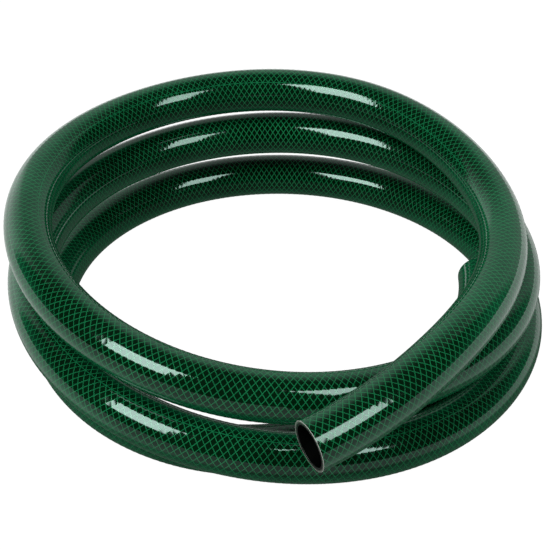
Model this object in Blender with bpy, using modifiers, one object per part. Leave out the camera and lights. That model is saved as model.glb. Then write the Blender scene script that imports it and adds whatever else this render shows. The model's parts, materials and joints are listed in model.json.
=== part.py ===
"""Garden hose: one length of clear-covered, braid-reinforced vinyl hose.

It is cut square at both ends, has no fittings, and lies flat in a loose coil of a little over
three turns. The hose is one hollow tube, so it is one object here, with its real bore.
Units are metres and +Z is up. The floor is at zero, under the middle of the coil.
"""
import math

import bpy
import numpy as np

# The hose
HOSE_BORE = 0.019
HOSE_WALL = 0.002
HOSE_OD = HOSE_BORE + 2 * HOSE_WALL

# The coil, to the middle of the hose
COIL_RADIUS = 0.120
COIL_TURNS = 3.27
START_ANGLE = math.radians(-86)
TURN_CLEARANCE = 0.0003

# How the turns lie, at every sixth of a turn from the end that lies on top to the end that
# lies on the floor: how far the hose swings out of the coil radius, and how many hoses are
# stacked under it. Both count in hose diameters, so the turns stay clear of each other when
# the hose's size changes. The first place is half a step before the upper end, which runs out
# almost straight towards it.
STATIONS_PER_TURN = 6
LEAD_IN_TURNS = 0.5 / STATIONS_PER_TURN
LAY = [
    (2.72, 1.60), (-0.10, 2.35), (-0.53, 2.29), (-0.17, 2.80), (0.27, 2.76), (0.10, 2.72),
    (-0.41, 2.05), (-0.63, 1.44), (-0.13, 1.35), (0.07, 1.61), (0.25, 1.55), (0.14, 1.52),
    (-0.01, 1.00), (-0.34, 0.19), (0.08, 0.00), (0.69, 0.00), (0.70, 0.00), (-0.14, 0.05),
    (-0.78, 0.02), (-1.34, 0.07), (-0.79, 0.56), (0.30, 0.12),
]

# How finely the solid is faceted
RINGS_PER_TURN = 48
BEVEL_RESOLUTION = 4

HOSE_GREEN = (0.012, 0.10, 0.05, 1.0)


def smooth_curvatures(values):
    """Second differences that make one even curve of cubic pieces through the values."""
    count = len(values)
    system = np.eye(count)
    bends = np.zeros(count)
    for i in range(1, count - 1):
        system[i, i - 1:i + 2] = (1, 4, 1)
        bends[i] = 6 * (values[i - 1] - 2 * values[i] + values[i + 1])
    return np.linalg.solve(system, bends)


def smooth_value(values, curvatures, place):
    """The even curve through the values, read at a place counted in stations."""
    left = min(int(place), len(values) - 2)
    b = place - left
    a = 1 - b
    bend = (a ** 3 - a) * curvatures[left] + (b ** 3 - b) * curvatures[left + 1]
    return a * values[left] + b * values[left + 1] + bend / 6


def coil_route():
    """Points along the middle of the hose, with the coil's box centred on the origin."""
    pitch = HOSE_OD + TURN_CLEARANCE
    outs = [out for out, layer in LAY]
    layers = [layer for out, layer in LAY]
    out_bends = smooth_curvatures(outs)
    layer_bends = smooth_curvatures(layers)
    steps = round(COIL_TURNS * RINGS_PER_TURN)
    points = []
    for step in range(steps + 1):
        turn = COIL_TURNS * step / steps
        place = (LEAD_IN_TURNS + turn) * STATIONS_PER_TURN
        radius = COIL_RADIUS + pitch * smooth_value(outs, out_bends, place)
        layer = max(0.0, smooth_value(layers, layer_bends, place))
        angle = START_ANGLE + math.tau * turn
        height = HOSE_OD / 2 + pitch * layer
        points.append((radius * math.cos(angle), radius * math.sin(angle), height))
    points = np.array(points)
    runs = np.gradient(points, axis=0)
    runs /= np.linalg.norm(runs, axis=1)[:, None]
    reach = HOSE_OD / 2 * np.sqrt(1 - runs ** 2)
    middle = ((points - reach).min(axis=0) + (points + reach).max(axis=0)) / 2
    points[:, :2] -= middle[:2]
    return points


def hose_material():
    material = bpy.data.materials.new("hose_vinyl")
    material.use_nodes = True
    shader = material.node_tree.nodes["Principled BSDF"]
    shader.inputs["Base Color"].default_value = HOSE_GREEN
    shader.inputs["Roughness"].default_value = 0.2
    shader.inputs["Metallic"].default_value = 0.0
    return material


def make_hose(collection):
    """A tube along the route, open at both ends, whose wall is thickened inwards."""
    curve = bpy.data.curves.new("hose", "CURVE")
    curve.dimensions = "3D"
    curve.twist_mode = "Z_UP"
    curve.bevel_depth = HOSE_OD / 2
    curve.bevel_resolution = BEVEL_RESOLUTION
    curve.use_fill_caps = False
    route = coil_route()
    spline = curve.splines.new("POLY")
    spline.points.add(len(route) - 1)
    for point, place in zip(spline.points, route):
        point.co = (*place, 1.0)
    spline.use_smooth = True
    curve.materials.append(hose_material())

    hose = bpy.data.objects.new("hose", curve)
    wall = hose.modifiers.new("wall", "SOLIDIFY")
    wall.thickness = HOSE_WALL
    wall.offset = -1.0
    wall.use_even_offset = True
    wall.use_rim = True
    collection.objects.link(hose)
    return hose


def main():
    for old in list(bpy.data.objects):
        bpy.data.objects.remove(old, do_unlink=True)
    collection = bpy.data.collections.new("garden_hose")
    bpy.context.scene.collection.children.link(collection)
    make_hose(collection)


if __name__ == "__main__":
    main()
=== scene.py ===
"""Garden hose: the looks of a yarn-braided hose with a clear cover, lying in a loose coil.

The file is laid out as a Blender add-on and is run as a script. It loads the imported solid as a
fixed frame, and builds the hose, its braid and its stage around it. Units are metres, +Z is up.
"""
import json
import math

import bpy
import numpy as np
from bpy.props import FloatProperty, FloatVectorProperty, IntProperty, PointerProperty
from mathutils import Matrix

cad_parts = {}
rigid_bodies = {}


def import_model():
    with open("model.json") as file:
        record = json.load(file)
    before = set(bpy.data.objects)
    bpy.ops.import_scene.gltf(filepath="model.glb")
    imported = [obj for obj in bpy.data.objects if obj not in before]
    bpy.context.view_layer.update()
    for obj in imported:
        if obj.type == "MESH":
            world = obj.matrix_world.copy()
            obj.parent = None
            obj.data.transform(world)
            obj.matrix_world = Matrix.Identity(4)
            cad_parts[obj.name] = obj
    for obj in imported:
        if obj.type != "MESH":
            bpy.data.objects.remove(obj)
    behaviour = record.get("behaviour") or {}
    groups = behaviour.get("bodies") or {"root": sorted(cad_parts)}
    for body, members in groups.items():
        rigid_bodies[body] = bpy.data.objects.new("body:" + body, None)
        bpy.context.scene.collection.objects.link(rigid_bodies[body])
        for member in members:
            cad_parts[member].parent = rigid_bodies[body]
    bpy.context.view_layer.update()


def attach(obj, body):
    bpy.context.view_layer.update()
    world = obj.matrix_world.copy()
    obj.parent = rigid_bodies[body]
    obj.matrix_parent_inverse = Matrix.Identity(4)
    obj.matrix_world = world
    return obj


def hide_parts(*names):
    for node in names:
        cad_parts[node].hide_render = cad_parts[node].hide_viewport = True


bl_info = {
    "name": "Garden hose",
    "version": (1, 0, 0),
    "blender": (4, 5, 0),
    "location": "3D View > Sidebar > Garden hose",
    "description": "Builds a coiled length of braided garden hose around its packed solid",
    "category": "Object",
}

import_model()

# How the turns lie, at every sixth of a turn from the upper end to the end on the floor: how
# far the hose swings out of the coil radius, and how many hoses are stacked under it. Both
# count in hose diameters. They are the solid's own, and so are the steps per turn.
STATIONS_PER_TURN = 6
LEAD_IN_TURNS = 0.5 / STATIONS_PER_TURN
SOLID_STEPS_PER_TURN = 48
LAY = [
    (2.72, 1.60), (-0.10, 2.35), (-0.53, 2.29), (-0.17, 2.80), (0.27, 2.76), (0.10, 2.72),
    (-0.41, 2.05), (-0.63, 1.44), (-0.13, 1.35), (0.07, 1.61), (0.25, 1.55), (0.14, 1.52),
    (-0.01, 1.00), (-0.34, 0.19), (0.08, 0.00), (0.69, 0.00), (0.70, 0.00), (-0.14, 0.05),
    (-0.78, 0.02), (-1.34, 0.07), (-0.79, 0.56), (0.30, 0.12),
]

# How finely the visible hose is faceted
RINGS_PER_TURN = 240
SIDES = 64
BORE_RINGS = 120
EDGE_STEPS = 3
CUT_FACE_RINGS = 5
YARN_STEPS_PER_WRAP = 64
YARNS_PER_PIECE = 8
YARN_LEAN = math.radians(3)

# Where the tube's faces lie when its finish is baked: the outside in rows, the bore, the ends
COVER_ROWS = 6
COVER_ROW_PITCH = 0.14
COVER_ROW_HEIGHT = 0.135
BORE_ROW = (0.85, 0.92)
ENDS_ROW = (0.93, 0.99)
END_STARTS = {"lower": 0.05, "upper": 0.55}
END_STEP = 0.02
BAKE_MARGIN = 0.01
BAKE_LIFT = 0.003

# The same for a yarn: three strips in each row, above them its small end faces
STRIP_LOW, STRIP_HIGH, STRIP_PITCH = 0.05, 0.35, 0.3
CAP_LOW, CAP_HIGH = 0.955, 0.995
CELLS_ACROSS_TO_DOWN = 3 / 8

# The clear cover: how it bends light, and its green cast, which its highlights take
VINYL_IOR = 1.5
GREEN_SHINE = (0.70, 1.00, 0.89, 1.0)

# How slanted the view of the cover is, from 0 for straight on to 1 for along it, where a
# painted sheen turns the tube between the yarns greener, and where the yarns look wider
PAINTED_SHEEN_SLANT = (0.24, 0.50)
WIDER = (0.3, 0.6)
WIDER_BY = 1.3

# The softboxes: degrees round the coil and above the table, then how far off, wide and high
LEFT_SOFTBOX = {
    "azimuth": -135.0, "elevation": 49, "distance": 3.0, "width": 1.25, "height": 1.68}
RIGHT_SOFTBOX = {
    "azimuth": 127.6, "elevation": 47, "distance": 0.89, "width": 0.285, "height": 0.44}
LAMP_AIM_HEIGHT = 0.05

# The pale panel behind the coil: its soft edges in degrees, and how bright it is. The glow is
# its bright left part.
PANEL_LEFT = (-68, -58)
PANEL_RIGHT = (50, 64)
PANEL_TOP = (34, 62)
PANEL_LEVEL = 0.40
OVER_PANEL_LEVEL = 0.02
GLOW_RIGHT = (-34, -24)
GLOW_TOP = (5, 48)
GLOW_LEVEL = 0.75
HORIZON_TOP = 9
HORIZON_LEVEL = 0.05
STUDIO_LEVEL = 0.025

# The table in the hose's shine: how bright it is beside the coil, and how much more behind
# it; how it pales with its distance; and how dark it is inside the coil and just behind it
SHINE_LEVEL = 0.76
SHINE_MORE_BEHIND = 0.30
FAR_TABLE = (0.3, 2.0)
FAR_SHINE = 1.4
COIL_EDGE = (0.145, 0.165)
SHADED_BEHIND = -0.16
SHADED_SHINE = 0.06

# The table's light on the hose is weaker inside the coil
SPILL_EDGE = (0.12, 0.16)
INNER_SPILL = 0.5


class HoseSizes(bpy.types.PropertyGroup):
    bore: FloatProperty(
        name="Bore", description="Inside diameter of the hose",
        default=0.019, min=0.001, unit="LENGTH", subtype="DISTANCE")
    wall: FloatProperty(
        name="Wall", description="Thickness of the hose's wall",
        default=0.002, min=0.0005, unit="LENGTH", subtype="DISTANCE")
    cut_edge: FloatProperty(
        name="Cut edge", description="How far the edges of the cut ends are softened",
        default=0.00015, min=0.0, unit="LENGTH", subtype="DISTANCE")
    coil_radius: FloatProperty(
        name="Coil radius", description="Radius of the coil to the middle of the hose",
        default=0.120, min=0.01, unit="LENGTH", subtype="DISTANCE")
    coil_turns: FloatProperty(
        name="Turns", description="How many turns the coil has", default=3.27, min=0.5)
    start_angle: FloatProperty(
        name="Start", description="Where round the coil the upper end lies",
        default=math.radians(-86), unit="ROTATION", subtype="ANGLE")
    turn_clearance: FloatProperty(
        name="Clearance", description="Air between turns that lie on each other",
        default=0.0003, min=0.0, unit="LENGTH", subtype="DISTANCE")


class BraidSizes(bpy.types.PropertyGroup):
    yarns: IntProperty(
        name="Yarns each way", description="How many yarns wind each way round the hose",
        default=16, min=4)
    wrap: FloatProperty(
        name="Wrap", description="Length of hose in which a yarn goes round once",
        default=0.0512, min=0.005, unit="LENGTH", subtype="DISTANCE")
    yarn_width: FloatProperty(
        name="Yarn width", description="Width of one yarn",
        default=0.00038, min=0.0001, unit="LENGTH", subtype="DISTANCE")
    yarn_rise: FloatProperty(
        name="Yarn rise", description="How far a yarn lifts the cover",
        default=0.00005, min=0.0, unit="LENGTH", subtype="DISTANCE")
    weave_rise: FloatProperty(
        name="Weave rise", description="How far a yarn rises where it crosses over another",
        default=0.00002, min=0.0, unit="LENGTH", subtype="DISTANCE")
    yarn_sink: FloatProperty(
        name="Yarn sink", description="How deep a yarn's foot lies under the cover",
        default=0.00004, min=0.0, unit="LENGTH", subtype="DISTANCE")
    tracer_width: FloatProperty(
        name="Tracer width", description="Width of the lengthwise tracer yarn",
        default=0.0005, min=0.0001, unit="LENGTH", subtype="DISTANCE")
    tracer_start: FloatProperty(
        name="Tracer start", description="Where round the hose the tracer starts",
        default=math.radians(149.6), unit="ROTATION", subtype="ANGLE")
    tracer_twist: FloatProperty(
        name="Tracer twist", description="How far the hose is twisted in a whole turn of the coil",
        default=math.radians(-38), unit="ROTATION", subtype="ANGLE")


class HoseColours(bpy.types.PropertyGroup):
    cover: FloatVectorProperty(
        name="Cover", description="The near-black green between the yarns",
        default=(0.0003, 0.0085, 0.0022), size=3, min=0.0, max=1.0, subtype="COLOR")
    # A painted sheen: the cover between the yarns, painted greener where it is seen at a slant
    slant: FloatVectorProperty(
        name="Slant", description="The cover between the yarns, seen at a slant",
        default=(0.0030, 0.0500, 0.0210), size=3, min=0.0, max=1.0, subtype="COLOR")
    yarn: FloatVectorProperty(
        name="Yarn", description="Green of the braid",
        default=(0.0055, 0.1080, 0.0380), size=3, min=0.0, max=1.0, subtype="COLOR")
    tracer: FloatVectorProperty(
        name="Tracer", description="Green of the tracer yarn",
        default=(0.0045, 0.1050, 0.0380), size=3, min=0.0, max=1.0, subtype="COLOR")
    liner: FloatVectorProperty(
        name="Liner", description="The liner, seen on the cut ends",
        default=(0.0900, 0.0840, 0.0760), size=3, min=0.0, max=1.0, subtype="COLOR")
    cover_edge: FloatVectorProperty(
        name="Cover edge", description="The clear cover, seen on the cut ends",
        default=(0.3400, 0.3600, 0.3300), size=3, min=0.0, max=1.0, subtype="COLOR")
    bore: FloatVectorProperty(
        name="Bore", description="The inside of the hose",
        default=(0.0006, 0.0009, 0.0007), size=3, min=0.0, max=1.0, subtype="COLOR")


class StageLook(bpy.types.PropertyGroup):
    lens: FloatProperty(
        name="Lens", description="Focal length of the camera",
        default=90.96, min=10.0, unit="CAMERA")
    camera_place: FloatVectorProperty(
        name="Camera place", description="Where the camera stands",
        default=(-0.0028, -0.5561, 0.4502), size=3, unit="LENGTH", subtype="TRANSLATION")
    camera_tilt: FloatProperty(
        name="Camera tilt", description="Angle between straight down and the camera's view",
        default=math.radians(53.684), unit="ROTATION", subtype="ANGLE")
    floor_width: FloatProperty(
        name="Floor", description="Width of the floor",
        default=24.0, min=1.0, unit="LENGTH", subtype="DISTANCE")
    floor_colour: FloatVectorProperty(
        name="Floor colour", description="Colour of the floor",
        default=(0.06, 0.06, 0.06), size=3, min=0.0, max=1.0, subtype="COLOR")
    floor_glow: FloatProperty(
        name="Floor glow", description="How bright the lit table looks", default=1.0, min=0.0)
    floor_spill: FloatProperty(
        name="Floor spill", description="Light that the table throws on the hose",
        default=0.40, min=0.0)
    left_lamp_strength: FloatProperty(
        name="Left lamp strength", description="Power of the left softbox for each square metre",
        default=44.0, min=0.0)
    right_lamp_strength: FloatProperty(
        name="Right lamp strength", description="Power of the right softbox for each square metre",
        default=32.0, min=0.0)


def even_curvatures(values):
    """Second differences that make one even curve of cubic pieces through the values."""
    count = len(values)
    system = np.eye(count)
    bends = np.zeros(count)
    for i in range(1, count - 1):
        system[i, i - 1:i + 2] = (1, 4, 1)
        bends[i] = 6 * (values[i - 1] - 2 * values[i] + values[i + 1])
    return np.linalg.solve(system, bends)


def even_values(values, places):
    """The even curve through the values, read at places counted in stations."""
    values = np.array(values)
    curvatures = even_curvatures(values)
    left = np.minimum(places.astype(int), len(values) - 2)
    b = places - left
    a = 1 - b
    bend = (a ** 3 - a) * curvatures[left] + (b ** 3 - b) * curvatures[left + 1]
    return a * values[left] + b * values[left + 1] + bend / 6


def directions(points):
    """Unit vectors along a line of points."""
    runs = np.gradient(points, axis=0)
    return runs / np.linalg.norm(runs, axis=1)[:, None]


def coil_points(sizes, steps):
    """Points along the middle of the hose, before the coil is centred."""
    diameter = sizes.bore + 2 * sizes.wall
    pitch = diameter + sizes.turn_clearance
    turns = sizes.coil_turns * np.arange(steps + 1) / steps
    places = (LEAD_IN_TURNS + turns) * STATIONS_PER_TURN
    radii = sizes.coil_radius + pitch * even_values([out for out, layer in LAY], places)
    layers = np.maximum(0.0, even_values([layer for out, layer in LAY], places))
    angles = sizes.start_angle + math.tau * turns
    heights = diameter / 2 + pitch * layers
    return np.stack([radii * np.cos(angles), radii * np.sin(angles), heights], axis=1)


class HoseLine:
    """The middle line of the hose, which gives points on and in the hose.

    A place on it is a length along the hose, an angle round it and a radius. The angle is
    counted from the tracer yarn, which turns slowly round the hose.
    """

    def __init__(self, sizes, braid):
        self.radius = sizes.bore / 2 + sizes.wall
        solid = coil_points(sizes, round(sizes.coil_turns * SOLID_STEPS_PER_TURN))
        reach = self.radius * np.sqrt(1 - directions(solid) ** 2)
        middle = ((solid - reach).min(axis=0) + (solid + reach).max(axis=0)) / 2
        steps = round(sizes.coil_turns * RINGS_PER_TURN)
        self.points = coil_points(sizes, steps)
        self.points[:, :2] -= middle[:2]
        self.along = directions(self.points)
        self.out = np.stack([self.along[:, 1], -self.along[:, 0], 0 * self.along[:, 0]], axis=1)
        self.out /= np.linalg.norm(self.out, axis=1)[:, None]
        self.up = np.cross(self.out, self.along)
        pieces = np.linalg.norm(np.diff(self.points, axis=0), axis=1)
        self.lengths = np.concatenate([[0.0], np.cumsum(pieces)])
        turns = sizes.coil_turns * np.arange(steps + 1) / steps
        self.tracer = braid.tracer_start + braid.tracer_twist * turns
        self.length = self.lengths[-1]

    def read(self, table, lengths):
        return np.stack([np.interp(lengths, self.lengths, column) for column in table.T], axis=-1)

    def rays(self, lengths, angles):
        """Directions straight out of the hose, and along it, at angles from the tracer."""
        out = self.read(self.out, lengths)
        up = self.read(self.up, lengths)
        turned = angles + np.interp(lengths, self.lengths, self.tracer)
        rays = np.cos(turned)[..., None] * out + np.sin(turned)[..., None] * up
        return rays / np.linalg.norm(rays, axis=-1)[..., None]

    def centres(self, lengths):
        return self.read(self.points, lengths)


def scene_mesh(name, places, normals, quads, triangles, finishes, slots, uv_maps):
    """A mesh object from arrays, with its own smooth normals, finishes and UV maps.

    The faces are the quads and after them the triangles, and so are the slots and UV maps.
    """
    mesh = bpy.data.meshes.new(name)
    mesh.vertices.add(len(places))
    mesh.vertices.foreach_set("co", places.astype(np.float32).ravel())
    corners = np.concatenate([quads.ravel(), triangles.ravel()]).astype(np.int32)
    quad_starts = 4 * np.arange(len(quads))
    triangle_starts = 4 * len(quads) + 3 * np.arange(len(triangles))
    starts = np.concatenate([quad_starts, triangle_starts]).astype(np.int32)
    mesh.loops.add(len(corners))
    mesh.loops.foreach_set("vertex_index", corners)
    mesh.polygons.add(len(starts))
    mesh.polygons.foreach_set("loop_start", starts)
    mesh.polygons.foreach_set("use_smooth", np.ones(len(starts), dtype=bool))
    for finish in finishes:
        mesh.materials.append(finish)
    mesh.polygons.foreach_set("material_index", slots.astype(np.int32))
    for title, values in uv_maps.items():
        layer = mesh.uv_layers.new(name=title)
        layer.uv.foreach_set("vector", values.astype(np.float32).ravel())
    mesh.update(calc_edges=True)
    mesh.normals_split_custom_set_from_vertices(normals.astype(np.float32))
    piece = bpy.data.objects.new(name, mesh)
    bpy.context.scene.collection.objects.link(piece)
    return piece


def node(tree, kind, **values):
    """A node with some of its inputs set, or joined to an output of another node."""
    made = tree.nodes.new(kind)
    for name, value in values.items():
        title = name.replace("_", " ")
        if isinstance(value, bpy.types.NodeSocket):
            tree.links.new(value, made.inputs[title])
        else:
            made.inputs[title].default_value = value
    return made


def math_node(tree, operation, *values):
    """The result of a sum on numbers and outputs of other nodes."""
    made = tree.nodes.new("ShaderNodeMath")
    made.operation = operation
    for i, value in enumerate(values):
        if isinstance(value, bpy.types.NodeSocket):
            tree.links.new(value, made.inputs[i])
        else:
            made.inputs[i].default_value = value
    return made.outputs[0]


def remap(tree, value, start, end, first, last, kind="LINEAR"):
    """A number that goes from first to last while the value goes from start to end."""
    made = node(
        tree, "ShaderNodeMapRange", Value=value,
        From_Min=start, From_Max=end, To_Min=first, To_Max=last)
    made.interpolation_type = kind
    return made.outputs["Result"]


def fade(tree, value, start, end, first, last):
    """The same, with a smooth start and end."""
    return remap(tree, value, start, end, first, last, "SMOOTHSTEP")


def blend_colours(tree, share, first, second):
    """A colour between two, nearer to the second the larger the share."""
    made = tree.nodes.new("ShaderNodeMix")
    made.data_type = "RGBA"
    sockets = {"Factor": share, "A": first, "B": second}
    for name, value in sockets.items():
        socket = next(s for s in made.inputs if s.name == name and s.enabled)
        if isinstance(value, bpy.types.NodeSocket):
            tree.links.new(value, socket)
        elif name == "Factor":
            socket.default_value = value
        else:
            socket.default_value = (*value, 1.0)
    return next(s for s in made.outputs if s.enabled)


def new_group(name, inputs, outputs):
    """A shader node group with named number inputs and outputs, and its two end nodes."""
    group = bpy.data.node_groups.new(name, "ShaderNodeTree")
    for title, default in inputs.items():
        socket = group.interface.new_socket(title, in_out="INPUT", socket_type="NodeSocketFloat")
        socket.default_value = default
    for title in outputs:
        group.interface.new_socket(title, in_out="OUTPUT", socket_type="NodeSocketFloat")
    return group, group.nodes.new("NodeGroupInput"), group.nodes.new("NodeGroupOutput")


def braid_pattern():
    """Where the yarns lie under the cover, and how the cover sinks between them."""
    if "braid pattern" in bpy.data.node_groups:
        return bpy.data.node_groups["braid pattern"]
    group, given, result = new_group(
        "braid pattern",
        {"Along": 0.0, "Around": 0.0, "Yarns": 16.0, "Half Width": 0.09},
        ["Yarn", "Relief"])
    along, around = given.outputs["Along"], given.outputs["Around"]
    yarns = given.outputs["Yarns"]
    right = math_node(group, "MULTIPLY", math_node(group, "SUBTRACT", around, along), yarns)
    left = math_node(group, "MULTIPLY", math_node(group, "ADD", around, along), yarns)
    right = math_node(group, "PINGPONG", right, 0.5)
    left = math_node(group, "PINGPONG", left, 0.5)
    nearest = math_node(group, "MINIMUM", right, left)
    soft = 0.25
    inner = math_node(group, "MULTIPLY", given.outputs["Half Width"], 1 - soft)
    outer = math_node(group, "MULTIPLY", given.outputs["Half Width"], 1 + soft)
    group.links.new(fade(group, nearest, inner, outer, 1.0, 0.0), result.inputs["Yarn"])
    rises = []
    for distance in (right, left):
        slope = math_node(group, "MULTIPLY_ADD", distance, -2.0, 1.0)
        rises.append(math_node(group, "POWER", slope, 2.0))
    relief = math_node(group, "ADD", rises[0], rises[1])
    group.links.new(math_node(group, "MULTIPLY", relief, 0.5), result.inputs["Relief"])
    return group


def vinyl_variation():
    """Slow changes of tone and gloss along the vinyl, and the faint marks of handling."""
    if "vinyl variation" in bpy.data.node_groups:
        return bpy.data.node_groups["vinyl variation"]
    group, given, result = new_group(
        "vinyl variation", {"Tone Change": 0.1, "Gloss Change": 0.05}, ["Tone", "Dulling"])
    place = group.nodes.new("ShaderNodeTexCoord").outputs["Object"]
    cloud = node(group, "ShaderNodeTexNoise", Vector=place, Scale=35.0, Detail=3.0)
    low = math_node(group, "SUBTRACT", 1.0, given.outputs["Tone Change"])
    high = math_node(group, "ADD", 1.0, given.outputs["Tone Change"])
    tone = remap(group, cloud.outputs["Fac"], 0.3, 0.7, low, high)
    group.links.new(tone, result.inputs["Tone"])
    marks = node(group, "ShaderNodeTexNoise", Vector=place, Scale=220.0, Detail=4.0)
    worn = remap(group, marks.outputs["Fac"], 0.45, 0.75, 0.0, given.outputs["Gloss Change"])
    group.links.new(worn, result.inputs["Dulling"])
    return group


def new_finish(name):
    """A material, its nodes and its shader."""
    finish = bpy.data.materials.new(name)
    finish.use_nodes = True
    tree = finish.node_tree
    shader = tree.nodes["Principled BSDF"]
    shader.inputs["IOR"].default_value = VINYL_IOR
    return finish, tree, shader


def vary(tree, shader, colour, roughness, tone_change, gloss_change):
    """Joins a colour and a roughness to the shader through the shared variation."""
    change = tree.nodes.new("ShaderNodeGroup")
    change.node_tree = vinyl_variation()
    change.inputs["Tone Change"].default_value = tone_change
    change.inputs["Gloss Change"].default_value = gloss_change
    scaled = tree.nodes.new("ShaderNodeVectorMath")
    scaled.operation = "SCALE"
    if isinstance(colour, bpy.types.NodeSocket):
        tree.links.new(colour, scaled.inputs[0])
    else:
        scaled.inputs[0].default_value = colour
    tree.links.new(change.outputs["Tone"], scaled.inputs["Scale"])
    tree.links.new(scaled.outputs["Vector"], shader.inputs["Base Color"])
    dulled = math_node(tree, "ADD", change.outputs["Dulling"], roughness)
    tree.links.new(dulled, shader.inputs["Roughness"])


def hose_places(tree):
    """The hose's own UV map: along it, and round it."""
    places = tree.nodes.new("ShaderNodeUVMap")
    places.uv_map = "braid"
    split = node(tree, "ShaderNodeSeparateXYZ", Vector=places.outputs["UV"])
    return split.outputs["X"], split.outputs["Y"]


def cover_finish(colours, braid, radius):
    """Glossy clear cover over a near-black tube, with the braid just under it.

    The round yarns hide more of the tube between them where they are seen at a slant, so they
    are drawn wider there, and the tube between them is painted greener there, a painted sheen.
    """
    finish, tree, shader = new_finish("hose cover")
    shader.inputs["Specular Tint"].default_value = GREEN_SHINE
    along, around = hose_places(tree)
    pattern = tree.nodes.new("ShaderNodeGroup")
    pattern.node_tree = braid_pattern()
    tree.links.new(along, pattern.inputs["Along"])
    tree.links.new(around, pattern.inputs["Around"])
    spacing = math.tau * radius / braid.yarns
    lean = math.atan2(math.tau * radius, braid.wrap)
    half = braid.yarn_width / 2 / (spacing * math.cos(lean))
    slant = node(tree, "ShaderNodeLayerWeight", Blend=0.5).outputs["Facing"]
    pattern.inputs["Yarns"].default_value = braid.yarns
    wider = fade(tree, slant, *WIDER, half, WIDER_BY * half)
    tree.links.new(wider, pattern.inputs["Half Width"])
    # Painted sheen: the tube between the yarns is painted greener where the view slants
    painted_sheen = fade(tree, slant, *PAINTED_SHEEN_SLANT, 0.0, 1.0)
    between = blend_colours(tree, painted_sheen, colours.cover, colours.slant)
    green = blend_colours(tree, pattern.outputs["Yarn"], between, colours.yarn)
    vary(tree, shader, green, roughness=0.06, tone_change=0.15, gloss_change=0.06)
    bump = node(tree, "ShaderNodeBump", Height=pattern.outputs["Relief"], Strength=1.0)
    bump.inputs["Distance"].default_value = 0.00002
    tree.links.new(bump.outputs["Normal"], shader.inputs["Normal"])
    return finish


def yarn_finish(name, colour):
    """Green yarn under the clear cover, with its fibres showing as fine streaks."""
    finish, tree, shader = new_finish(name)
    shader.inputs["Specular Tint"].default_value = GREEN_SHINE
    along, across = hose_places(tree)
    stretched = node(tree, "ShaderNodeCombineXYZ")
    tree.links.new(math_node(tree, "MULTIPLY", along, 700.0), stretched.inputs["X"])
    tree.links.new(math_node(tree, "MULTIPLY", across, 7.0), stretched.inputs["Y"])
    fibres = node(tree, "ShaderNodeTexNoise", Vector=stretched.outputs["Vector"], Scale=1.0)
    light = remap(tree, fibres.outputs["Fac"], 0.3, 0.7, 0.0, 1.0)
    streak = 0.25
    dark = [(1 - streak) * part for part in colour]
    bright = [(1 + streak) * part for part in colour]
    green = blend_colours(tree, light, dark, bright)
    vary(tree, shader, green, roughness=0.07, tone_change=0.15, gloss_change=0.05)
    return finish


def cut_finish(colours, braid):
    """The cut end: clear cover outside, cut yarn ends in a ring, and the liner.

    Its depth goes from 0 at the bore to 1 at the outside.
    """
    finish, tree, shader = new_finish("hose cut end")
    depth, around = hose_places(tree)
    liner = fade(tree, depth, 0.42, 0.62, 0.0, 1.0)
    wall = blend_colours(tree, liner, colours.bore, colours.liner)
    rim = fade(tree, depth, 0.80, 0.92, 0.0, 1.0)
    wall = blend_colours(tree, rim, wall, colours.cover_edge)
    yarn_ring, flatness = 0.70, 1.1
    turn = math_node(tree, "MULTIPLY", around, 2.0 * braid.yarns)
    turn = math_node(tree, "PINGPONG", turn, 0.5)
    side = math_node(tree, "MULTIPLY", turn, 2.0 * flatness)
    rise = math_node(tree, "MULTIPLY", math_node(tree, "SUBTRACT", depth, yarn_ring), 2.0)
    side = math_node(tree, "POWER", side, 2.0)
    rise = math_node(tree, "POWER", rise, 2.0)
    reach = math_node(tree, "SQRT", math_node(tree, "ADD", side, rise))
    dot = remap(tree, reach, 0.25, 0.45, 1.0, 0.0)
    wall = blend_colours(tree, dot, wall, colours.yarn)
    vary(tree, shader, wall, roughness=0.35, tone_change=0.2, gloss_change=0.15)
    place = tree.nodes.new("ShaderNodeTexCoord").outputs["Object"]
    sawn = node(tree, "ShaderNodeTexNoise", Vector=place, Scale=2500.0, Detail=2.0)
    bump = node(tree, "ShaderNodeBump", Height=sawn.outputs["Fac"], Strength=0.5)
    bump.inputs["Distance"].default_value = 0.00005
    tree.links.new(bump.outputs["Normal"], shader.inputs["Normal"])
    return finish


def bore_finish(colours):
    """The liner's smooth inside, which is nearly black."""
    finish, tree, shader = new_finish("hose bore")
    shader.inputs["Specular IOR Level"].default_value = 0.08
    vary(tree, shader, colours.bore, roughness=0.35, tone_change=0.2, gloss_change=0.1)
    return finish


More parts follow.
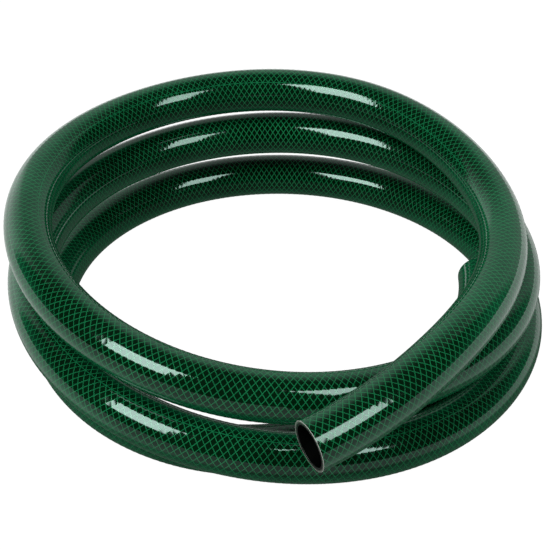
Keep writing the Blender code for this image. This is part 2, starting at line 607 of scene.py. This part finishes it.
def tube_rings(line, sizes):
    """Rings of the tube's section in order: outside, lower cut end, bore, upper cut end.

    Each ring is its length along the hose, its radius, and the parts of its normal that point
    out of the hose and along it. The last word names the surface that the ring starts.
    """
    outer, inner, edge = line.radius, sizes.bore / 2, sizes.cut_edge
    end = line.length
    rings = []
    for s in np.linspace(edge, end - edge, len(line.lengths)):
        rings.append((s, outer, 1.0, 0.0, "cover"))
    turns = np.linspace(0, math.pi / 2, EDGE_STEPS + 1)[1:]
    flats = np.linspace(outer - edge, inner + edge, CUT_FACE_RINGS)
    for a in turns:
        n = (math.cos(a), math.sin(a))
        rings.append((end - edge + edge * n[1], outer - edge + edge * n[0], *n, "cut"))
    for r in flats[1:]:
        rings.append((end, r, 0.0, 1.0, "cut"))
    for a in turns:
        n = (-math.sin(a), math.cos(a))
        rings.append((end - edge + edge * n[1], inner + edge + edge * n[0], *n, "cut"))
    for s in np.linspace(end - edge, edge, BORE_RINGS + 1)[1:]:
        rings.append((s, inner, -1.0, 0.0, "bore"))
    for a in turns:
        n = (-math.cos(a), -math.sin(a))
        rings.append((edge + edge * n[1], inner + edge + edge * n[0], *n, "cut"))
    for r in flats[::-1][1:]:
        rings.append((0.0, r, 0.0, -1.0, "cut"))
    for a in turns[:-1]:
        n = (math.sin(a), -math.cos(a))
        rings.append((edge + edge * n[1], outer - edge + edge * n[0], *n, "cut"))
    return rings


def make_tube(line, sizes, braid, colours):
    """The hose without its yarns, as one closed skin round its outside, ends and bore."""
    rings = tube_rings(line, sizes)
    count = len(rings)
    lengths = np.array([r[0] for r in rings])
    radii = np.array([r[1] for r in rings])
    angles = math.tau * np.arange(SIDES) / SIDES
    grid_lengths = np.repeat(lengths[:, None], SIDES, axis=1)
    rays = line.rays(grid_lengths, np.repeat(angles[None, :], count, axis=0))
    forward = line.read(line.along, lengths)
    places = line.centres(lengths)[:, None, :] + radii[:, None, None] * rays
    outward = np.array([r[2] for r in rings])
    lengthwise = np.array([r[3] for r in rings])
    normals = outward[:, None, None] * rays + (lengthwise[:, None] * forward)[:, None, :]
    near = np.arange(count)
    far = (near + 1) % count
    side = np.arange(SIDES)
    next_side = (side + 1) % SIDES
    corners = [near[:, None] * SIDES + side, far[:, None] * SIDES + side,
               far[:, None] * SIDES + next_side, near[:, None] * SIDES + next_side]
    quads = np.stack(corners, axis=-1).reshape(-1, 4)
    surfaces = [rings[i][4] if rings[i][4] == rings[(i + 1) % count][4] else "cut" for i in near]
    slots = np.repeat([["cover", "cut", "bore"].index(s) for s in surfaces], SIDES)
    braid_uv = np.zeros((count, SIDES, 4, 2))
    bake_uv = np.zeros((count, SIDES, 4, 2))
    per_row = math.ceil(len(line.lengths) / COVER_ROWS)
    upper_end_first = BORE_RINGS + 2 * EDGE_STEPS + CUT_FACE_RINGS - 1
    for i in near:
        j = far[i]
        if surfaces[i] == "cover":
            u = (lengths[i] / braid.wrap, lengths[j] / braid.wrap)
            row = i // per_row
            across = [(i - row * per_row) / per_row, (i + 1 - row * per_row) / per_row]
            low, high = COVER_ROW_PITCH * row, COVER_ROW_PITCH * row + COVER_ROW_HEIGHT
        elif surfaces[i] == "bore":
            u = (lengths[i] / braid.wrap, lengths[j] / braid.wrap)
            across = [lengths[i] / line.length, lengths[j] / line.length]
            low, high = BORE_ROW
        else:
            u = [(radii[k] - sizes.bore / 2) / sizes.wall for k in (i, j)]
            end, first = ("upper", upper_end_first)
            if lengths[i] > line.length / 2:
                end, first = ("lower", 0)
            steps = [(k - len(line.lengths)) % count - first for k in (i, j)]
            across = [END_STARTS[end] + END_STEP * step for step in steps]
            low, high = ENDS_ROW
        v = np.stack([side, side, side + 1, side + 1], axis=-1) / SIDES
        braid_uv[i, :, :, 0] = (u[0], u[1], u[1], u[0])
        braid_uv[i, :, :, 1] = v
        across = np.array([across[0], across[1], across[1], across[0]])
        bake_uv[i, :, :, 0] = BAKE_MARGIN + (1 - 2 * BAKE_MARGIN) * across
        bake_uv[i, :, :, 1] = BAKE_LIFT + low + (high - low) * v
    finishes = [cover_finish(colours, braid, line.radius), cut_finish(colours, braid),
                bore_finish(colours)]
    return scene_mesh(
        "hose_tube", places.reshape(-1, 3), normals.reshape(-1, 3), quads,
        np.zeros((0, 3)), finishes, slots, {"braid": braid_uv, "OFBake": bake_uv})


def yarn_shape(line, lengths, angles, rises, width, sink, lean):
    """The three edges of one yarn, crest and two feet, with their normals."""
    rays = line.rays(lengths, angles)
    centres = line.centres(lengths)
    crest = centres + (line.radius + rises)[:, None] * rays
    runs = directions(crest)
    across = np.cross(rays, runs)
    across /= np.linalg.norm(across, axis=1)[:, None]
    foot = centres + (line.radius - sink) * rays
    places = np.stack([foot - across * width / 2, crest, foot + across * width / 2], axis=1)
    tilt = math.sin(lean) * across
    normals = np.stack([math.cos(lean) * rays - tilt, rays, math.cos(lean) * rays + tilt], axis=1)
    return places, normals


def make_yarns(name, line, tracks, width, sink, finish):
    """Yarns as closed strips of three long faces, all in one piece.

    A track is the yarn's lengths along the hose, its angles and how far its crest rises.
    """
    all_places, all_normals, all_quads, all_uvs, all_bakes = [], [], [], [], []
    all_caps, cap_uvs, cap_bakes = [], [], []
    base = 0
    total = sum(len(track[0]) - 1 for track in tracks)
    per_row = max(1, math.ceil(math.sqrt(total * CELLS_ACROSS_TO_DOWN)))
    row_count = math.ceil(total / per_row)
    passed = 0
    for lengths, angles, rises in tracks:
        places, normals = yarn_shape(line, lengths, angles, rises, width, sink, YARN_LEAN)
        steps = len(lengths)
        first = base + 3 * np.arange(steps - 1)
        paces = np.linalg.norm(np.diff(places[:, 1], axis=0), axis=1)
        walked = np.concatenate([[0.0], np.cumsum(paces)])
        for face, (p, q) in enumerate(((0, 1), (1, 2), (2, 0))):
            quads = np.stack([first + p, first + 3 + p, first + 3 + q, first + q], axis=-1)
            lows, highs = walked[:-1], walked[1:]
            sides = (0.5 * face, 0.5 * face + 0.5) if face < 2 else (1.0, 0.0)
            uv = np.zeros((steps - 1, 4, 2))
            uv[:, :, 0] = np.stack([lows, highs, highs, lows], axis=-1)
            uv[:, :, 1] = (sides[0], sides[0], sides[1], sides[1])
            place = passed + np.arange(steps - 1)
            row, column = place // per_row, place % per_row
            left, right = column / per_row, (column + 1) / per_row
            bake = np.zeros((steps - 1, 4, 2))
            bake[:, :, 0] = np.stack([left, right, right, left], axis=-1)
            strip = np.array((STRIP_LOW, STRIP_LOW, STRIP_HIGH, STRIP_HIGH)) + STRIP_PITCH * face
            bake[:, :, 1] = (row[:, None] + strip) / row_count
            all_quads.append(quads)
            all_uvs.append(uv)
            all_bakes.append(bake)
        last = base + 3 * (steps - 1)
        for cap, step, far in (((0, 1, 2), 0, 0), ((2, 1, 0), steps - 2, last - base)):
            all_caps.append([base + far + corner for corner in cap])
            row, column = divmod(passed + step, per_row)
            left, middle, right = ((column + part) / per_row for part in (0, 0.5, 1))
            low, high = (row + CAP_LOW) / row_count, (row + CAP_HIGH) / row_count
            cap_uvs.append([(walked[step], 0.0), (walked[step], 0.5), (walked[step], 1.0)])
            cap_bakes.append([(left, low), (middle, high), (right, low)])
        all_places.append(places.reshape(-1, 3))
        all_normals.append(normals.reshape(-1, 3))
        base += 3 * steps
        passed += steps - 1
    quads, caps = np.concatenate(all_quads), np.array(all_caps)
    maps = {}
    parts = {"braid": (all_uvs, cap_uvs), "OFBake": (all_bakes, cap_bakes)}
    for title, (of_quads, of_caps) in parts.items():
        flat = [np.concatenate(of_quads).reshape(-1, 2), np.array(of_caps).reshape(-1, 2)]
        maps[title] = np.concatenate(flat)
    return scene_mesh(
        name, np.concatenate(all_places), np.concatenate(all_normals), quads, caps, [finish],
        np.zeros(len(quads) + len(caps)), maps)


def braid_tracks(line, braid, margin, hand, numbers):
    """Where the yarns of one hand run: hand is 1 for right-hand yarns and -1 for left-hand."""
    step = braid.wrap / YARN_STEPS_PER_WRAP
    first = math.ceil(margin / step)
    last = math.floor((line.length - margin) / step)
    lengths = np.concatenate([[margin], step * np.arange(first, last + 1), [line.length - margin]])
    lengths = np.unique(lengths.round(9))
    turns = lengths / braid.wrap
    weave = np.cos(2 * math.pi * braid.yarns * turns)
    rises = braid.yarn_rise + hand * braid.weave_rise * weave
    tracks = []
    for number in numbers:
        angles = math.tau * (hand * turns + number / braid.yarns)
        tracks.append((lengths, angles, rises))
    return tracks


def add_lamp(name, strength, azimuth, elevation, distance, width, height):
    """A softbox that points at the coil. Azimuth 0 is straight behind it, and 90 to its right."""
    lamp = bpy.data.lights.new(name, "AREA")
    lamp.shape = "RECTANGLE"
    lamp.size = width
    lamp.size_y = height
    lamp.energy = strength * width * height
    holder = bpy.data.objects.new(name, lamp)
    a, e = math.radians(azimuth), math.radians(elevation)
    holder.location = (
        distance * math.cos(e) * math.sin(a),
        distance * math.cos(e) * math.cos(a),
        LAMP_AIM_HEIGHT + distance * math.sin(e))
    holder.rotation_euler = (math.pi / 2 - e, 0.0, math.pi - a)
    bpy.context.scene.collection.objects.link(holder)
    return holder


def studio_world():
    """A dark studio with a soft pale panel low down behind the coil, brightest on its left."""
    world = bpy.data.worlds.new("studio")
    world.use_nodes = True
    tree = world.node_tree
    shade = tree.nodes["Background"]
    place = tree.nodes.new("ShaderNodeTexCoord").outputs["Generated"]
    split = node(tree, "ShaderNodeSeparateXYZ", Vector=place)
    height = math_node(tree, "DEGREES", math_node(tree, "ARCSINE", split.outputs["Z"]))
    turn = math_node(
        tree, "DEGREES", math_node(tree, "ARCTAN2", split.outputs["X"], split.outputs["Y"]))
    left = fade(tree, turn, *PANEL_LEFT, 0.0, 1.0)
    panel = math_node(tree, "MULTIPLY", left, fade(tree, turn, *PANEL_RIGHT, 1.0, 0.0))
    panel = math_node(
        tree, "MULTIPLY", panel, fade(tree, height, *PANEL_TOP, PANEL_LEVEL, OVER_PANEL_LEVEL))
    glow = math_node(tree, "MULTIPLY", left, fade(tree, turn, *GLOW_RIGHT, 1.0, 0.0))
    glow = math_node(
        tree, "MULTIPLY", glow, fade(tree, height, *GLOW_TOP, GLOW_LEVEL, 0.0))
    horizon = fade(tree, height, 0, HORIZON_TOP, HORIZON_LEVEL, STUDIO_LEVEL)
    level = math_node(tree, "ADD", math_node(tree, "ADD", panel, glow), horizon)
    camera = tree.nodes.new("ShaderNodeLightPath").outputs["Is Camera Ray"]
    tree.links.new(math_node(tree, "MAXIMUM", level, camera), shade.inputs["Strength"])
    shade.inputs["Color"].default_value = (1.0, 1.0, 1.0, 1.0)
    return world


def floor_finish(look):
    """A pale lit table. Its shine is dark inside the coil, and paler to the sides and behind.

    It looks the same all over to the camera. What the hose takes from it, in its shine and as
    light thrown on it, changes over the table.
    """
    table = bpy.data.materials.new("pale floor")
    table.use_nodes = True
    tree = table.node_tree
    shader = tree.nodes["Principled BSDF"]
    shader.inputs["Base Color"].default_value = (*look.floor_colour, 1.0)
    shader.inputs["Roughness"].default_value = 1.0
    shader.inputs["Specular IOR Level"].default_value = 0.0
    shader.inputs["Emission Color"].default_value = (1.0, 1.0, 1.0, 1.0)
    place = tree.nodes.new("ShaderNodeTexCoord").outputs["Object"]
    split = node(tree, "ShaderNodeSeparateXYZ", Vector=place)
    away = node(tree, "ShaderNodeVectorMath")
    away.operation = "LENGTH"
    tree.links.new(place, away.inputs[0])
    reach = away.outputs["Value"]
    behind = math_node(tree, "DIVIDE", split.outputs["Y"], reach)
    level = math_node(tree, "MULTIPLY_ADD", behind, SHINE_MORE_BEHIND, SHINE_LEVEL)
    level = math_node(tree, "MULTIPLY", level, fade(tree, reach, *FAR_TABLE, 1.0, FAR_SHINE))
    back = math_node(tree, "POWER", math_node(tree, "MAXIMUM", behind, 0.0), 2.0)
    shaded = math_node(tree, "MULTIPLY_ADD", back, SHADED_BEHIND, reach)
    level = math_node(
        tree, "MULTIPLY", level, fade(tree, shaded, *COIL_EDGE, SHADED_SHINE, 1.0))
    path = tree.nodes.new("ShaderNodeLightPath").outputs
    shine, spill = path["Is Glossy Ray"], path["Is Diffuse Ray"]
    inner_spill = INNER_SPILL * look.floor_spill
    thrown = fade(tree, reach, *SPILL_EDGE, inner_spill, look.floor_spill)
    thrown = math_node(tree, "SUBTRACT", thrown, look.floor_glow)
    plain = math_node(tree, "MULTIPLY_ADD", spill, thrown, look.floor_glow)
    plain = math_node(tree, "MULTIPLY", math_node(tree, "SUBTRACT", 1.0, shine), plain)
    glow = math_node(tree, "MULTIPLY_ADD", shine, level, plain)
    tree.links.new(glow, shader.inputs["Emission Strength"])
    return table


class GARDENHOSE_OT_add_camera(bpy.types.Operator):
    """Add the camera that looks down at the coil from the front"""
    bl_idname = "garden_hose.add_camera"
    bl_label = "Add camera"

    def execute(self, context):
        look = context.scene.garden_hose_stage
        camera = bpy.data.objects.new("camera", bpy.data.cameras.new("camera"))
        camera.data.sensor_width = 36.0
        camera.data.lens = look.lens
        camera.location = look.camera_place
        camera.rotation_euler = (look.camera_tilt, 0.0, 0.0)
        context.scene.collection.objects.link(camera)
        context.scene.camera = camera
        return {"FINISHED"}


class GARDENHOSE_OT_add_hose(bpy.types.Operator):
    """Add the hose itself: a tube with its real bore and its two cut ends"""
    bl_idname = "garden_hose.add_hose"
    bl_label = "Add hose"

    def execute(self, context):
        scene = context.scene
        sizes, braid = scene.garden_hose_sizes, scene.garden_hose_braid
        line = HoseLine(sizes, braid)
        make_tube(line, sizes, braid, scene.garden_hose_colours)
        return {"FINISHED"}


class GARDENHOSE_OT_add_braid(bpy.types.Operator):
    """Add the braid's yarns, some in each piece, and the lengthwise tracer yarn"""
    bl_idname = "garden_hose.add_braid"
    bl_label = "Add braid"

    def execute(self, context):
        scene = context.scene
        sizes, braid = scene.garden_hose_sizes, scene.garden_hose_braid
        colours = scene.garden_hose_colours
        if "hose_tube" not in bpy.data.objects:
            raise RuntimeError("Add the hose before its braid")
        line = HoseLine(sizes, braid)
        margin = 2 * sizes.cut_edge
        finish = yarn_finish("braid yarn", tuple(colours.yarn))
        for hand, word in ((1, "right"), (-1, "left")):
            for start in range(0, braid.yarns, YARNS_PER_PIECE):
                numbers = range(start, min(start + YARNS_PER_PIECE, braid.yarns))
                tracks = braid_tracks(line, braid, margin, hand, numbers)
                name = f"braid_{word}_{start // YARNS_PER_PIECE + 1}"
                make_yarns(name, line, tracks, braid.yarn_width, braid.yarn_sink, finish)
        lengths = np.linspace(margin, line.length - margin, 2 * len(line.lengths))
        rises = np.full(len(lengths), braid.yarn_rise + braid.weave_rise)
        track = (lengths, 0 * lengths, rises)
        finish = yarn_finish("tracer yarn", tuple(colours.tracer))
        make_yarns("tracer_yarn", line, [track], braid.tracer_width, braid.yarn_sink, finish)
        return {"FINISHED"}


class GARDENHOSE_OT_place_pieces(bpy.types.Operator):
    bl_idname = "garden_hose.place_pieces"
    bl_label = "Place pieces"

    def execute(self, context):
        scene = context.scene
        sizes = scene.garden_hose_sizes
        tube = bpy.data.objects.get("hose_tube")
        yarns = [o for o in scene.objects if o.name.startswith(("braid_", "tracer_"))]
        if tube is None or not yarns:
            raise RuntimeError("Add the hose and its braid first")
        for piece in [tube, *yarns]:
            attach(piece, "root")
        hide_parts("hose")
        line = HoseLine(sizes, scene.garden_hose_braid)
        return {"FINISHED"}


class GARDENHOSE_OT_add_stage(bpy.types.Operator):
    """Add the pale floor, the two softboxes and the dim studio round them"""
    bl_idname = "garden_hose.add_stage"
    bl_label = "Add stage"

    def execute(self, context):
        scene = context.scene
        look = scene.garden_hose_stage
        half = look.floor_width / 2
        mesh = bpy.data.meshes.new("floor")
        mesh.from_pydata(
            [(-half, -half, 0.0), (half, -half, 0.0), (half, half, 0.0), (-half, half, 0.0)],
            [], [(0, 1, 2, 3)])
        floor = bpy.data.objects.new("floor", mesh)
        scene.collection.objects.link(floor)
        mesh.materials.append(floor_finish(look))
        add_lamp("left softbox", look.left_lamp_strength, **LEFT_SOFTBOX)
        add_lamp("right softbox", look.right_lamp_strength, **RIGHT_SOFTBOX)
        scene.world = studio_world()
        scene.view_settings.view_transform = "Standard"
        return {"FINISHED"}


class GARDENHOSE_PT_panel(bpy.types.Panel):
    """The steps that build the hose and its stage"""
    bl_label = "Garden hose"
    bl_idname = "GARDENHOSE_PT_panel"
    bl_space_type = "VIEW_3D"
    bl_region_type = "UI"
    bl_category = "Garden hose"

    def draw(self, context):
        scene = context.scene
        for group in PROPERTY_GROUPS:
            settings = getattr(scene, group)
            box = self.layout.box()
            for name in settings.bl_rna.properties.keys():
                if name not in {"rna_type", "name"}:
                    box.prop(settings, name)
        for operator in OPERATORS:
            self.layout.operator(operator.bl_idname)


PROPERTY_GROUPS = {
    "garden_hose_sizes": HoseSizes,
    "garden_hose_braid": BraidSizes,
    "garden_hose_colours": HoseColours,
    "garden_hose_stage": StageLook,
}
OPERATORS = (
    GARDENHOSE_OT_add_camera,
    GARDENHOSE_OT_add_hose,
    GARDENHOSE_OT_add_braid,
    GARDENHOSE_OT_place_pieces,
    GARDENHOSE_OT_add_stage,
)


def register():
    for name, group in PROPERTY_GROUPS.items():
        bpy.utils.register_class(group)
        setattr(bpy.types.Scene, name, PointerProperty(type=group))
    for item in (*OPERATORS, GARDENHOSE_PT_panel):
        bpy.utils.register_class(item)


def unregister():
    for item in (GARDENHOSE_PT_panel, *reversed(OPERATORS)):
        bpy.utils.unregister_class(item)
    for name, group in reversed(PROPERTY_GROUPS.items()):
        delattr(bpy.types.Scene, name)
        bpy.utils.unregister_class(group)


def main():
    register()
    bpy.ops.garden_hose.add_camera()
    bpy.ops.garden_hose.add_hose()
    bpy.ops.garden_hose.add_braid()
    bpy.ops.garden_hose.place_pieces()
    bpy.ops.garden_hose.add_stage()


if __name__ == "__main__":
    main()
